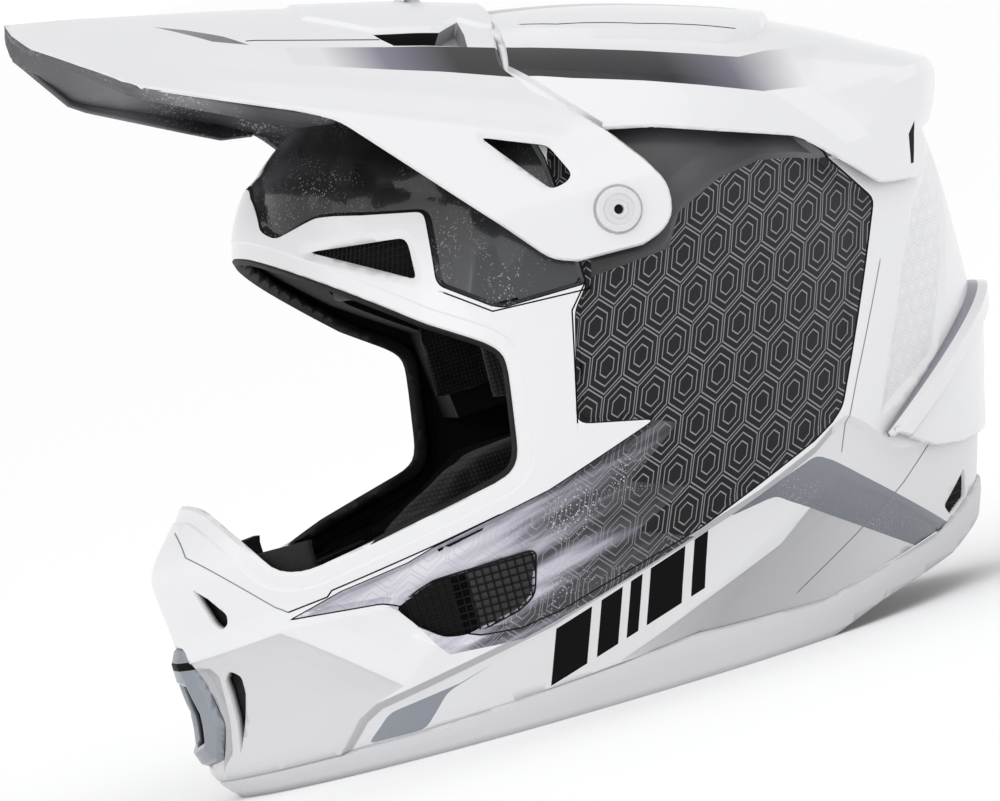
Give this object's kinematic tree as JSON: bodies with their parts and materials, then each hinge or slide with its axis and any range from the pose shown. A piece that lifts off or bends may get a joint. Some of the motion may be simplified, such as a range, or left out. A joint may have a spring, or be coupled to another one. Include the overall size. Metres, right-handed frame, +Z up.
{
  "type": "motocross helmet",
  "caption": "Full-face off-road helmet with a long tilting visor peak, open eye port, protruding chin guard, padded lining and a D-ring chin strap.",
  "frame": {"origin": "middle of the footprint, on the surface that the lower rim stands on", "axes": "+Z up, helmet faces -Y, the wearer's left is +X"},
  "size_m": [0.2504, 0.3525, 0.3111],
  "materials": {
    "shell_white": "lacquered gloss white over a moulded shell, with dark grey and silver panels",
    "visor_white": "gloss white moulded plastic with a dark side stripe",
    "rim_trim": "satin light grey edge band",
    "port_trim": "matt black edge bead",
    "vent_black": "moulded black grille",
    "filter_foam": "open-cell black foam",
    "liner_foam": "expanded bead foam, black",
    "insert_rubber": "moulded energy-absorbing rubber",
    "lining_fabric": "black brushed knit over foam",
    "plate_plastic": "moulded black",
    "snap_plastic": "moulded black",
    "screw_plastic": "moulded translucent white",
    "washer_rubber": "moulded black",
    "insert_brass": "knurled",
    "webbing": "woven black polyester",
    "steel": "plated"
  },
  "bodies": {
    "helmet": {"base_trim": "rim_trim", "brow_pad": "lining_fabric", "brow_vent_mesh_left": "vent_black", "brow_vent_mesh_right": "vent_black", "cheek_pad_left": "lining_fabric", "cheek_pad_right": "lining_fabric", "cheek_plate_left": "plate_plastic", "cheek_plate_right": "plate_plastic", "chin_liner": "liner_foam", "crown_pad": "lining_fabric", "eyeport_trim": "port_trim", "impact_inserts": "insert_rubber", "impact_liner": "liner_foam", "mouthpiece": "shell_white", "mouthpiece_filter": "filter_foam", "neck_roll": "lining_fabric", "outer_shell": "shell_white", "rear_cover": "shell_white", "rear_vent_mesh_left": "vent_black", "rear_vent_mesh_right": "vent_black", "side_vent_mesh_left": "vent_black", "side_vent_mesh_right": "vent_black", "strap_rivet_left": "steel", "strap_rivet_right": "steel", "strap_root_left": "webbing", "strap_root_right": "webbing", "top_cover": "shell_white", "visor_insert_center": "insert_brass", "visor_insert_left": "insert_brass", "visor_insert_right": "insert_brass", "visor_washer_left": "washer_rubber", "visor_washer_right": "washer_rubber"},
    "visor": {"visor": "visor_white"},
    "visor_screw_left": {"visor_screw_left": "screw_plastic"},
    "visor_screw_right": {"visor_screw_right": "screw_plastic"},
    "visor_screw_center": {"visor_screw_center": "screw_plastic"},
    "strap_left": {"strap_left": "webbing", "strap_pad_left": "lining_fabric"},
    "strap_right": {"strap_right": "webbing", "strap_pad_right": "lining_fabric", "strap_snap": "snap_plastic"},
    "d_ring_inner": {"d_ring_inner": "steel"},
    "d_ring_outer": {"d_ring_outer": "steel"}
  },
  "joints": [
    {"name": "visor_tilt", "type": "hinge", "parent": "helmet", "child": "visor", "pos_m": [0, 0.02, 0.1795], "axis": [1, 0, 0], "range_deg": [0, 8]},
    {"name": "visor_screw_left_turn", "type": "hinge", "parent": "helmet", "child": "visor_screw_left", "pos_m": [0.12, 0.02, 0.1795], "axis": [1, 0, 0], "range_deg": [0, 360]},
    {"name": "visor_screw_right_turn", "type": "hinge", "parent": "helmet", "child": "visor_screw_right", "pos_m": [-0.12, 0.02, 0.1795], "axis": [-1, 0, 0], "range_deg": [0, 360]},
    {"name": "visor_screw_center_turn", "type": "hinge", "parent": "helmet", "child": "visor_screw_center", "pos_m": [0, -0.012, 0.26], "axis": [0, 0, 1], "range_deg": [0, 360]},
    {"name": "strap_left_swing", "type": "hinge", "parent": "helmet", "child": "strap_left", "pos_m": [0.061, 0.016, 0.101], "axis": [0, 1, 0], "range_deg": [0, 30]},
    {"name": "strap_right_swing", "type": "hinge", "parent": "helmet", "child": "strap_right", "pos_m": [-0.061, 0.016, 0.101], "axis": [0, -1, 0], "range_deg": [0, 30]},
    {"name": "d_ring_inner_turn", "type": "hinge", "parent": "strap_left", "child": "d_ring_inner", "pos_m": [0.059, 0.016, 0.04], "axis": [0, 1, 0], "range_deg": [0, 70]},
    {"name": "d_ring_outer_turn", "type": "hinge", "parent": "strap_left", "child": "d_ring_outer", "pos_m": [0.063, 0.016, 0.04], "axis": [0, -1, 0], "range_deg": [0, 8]}
  ]
}
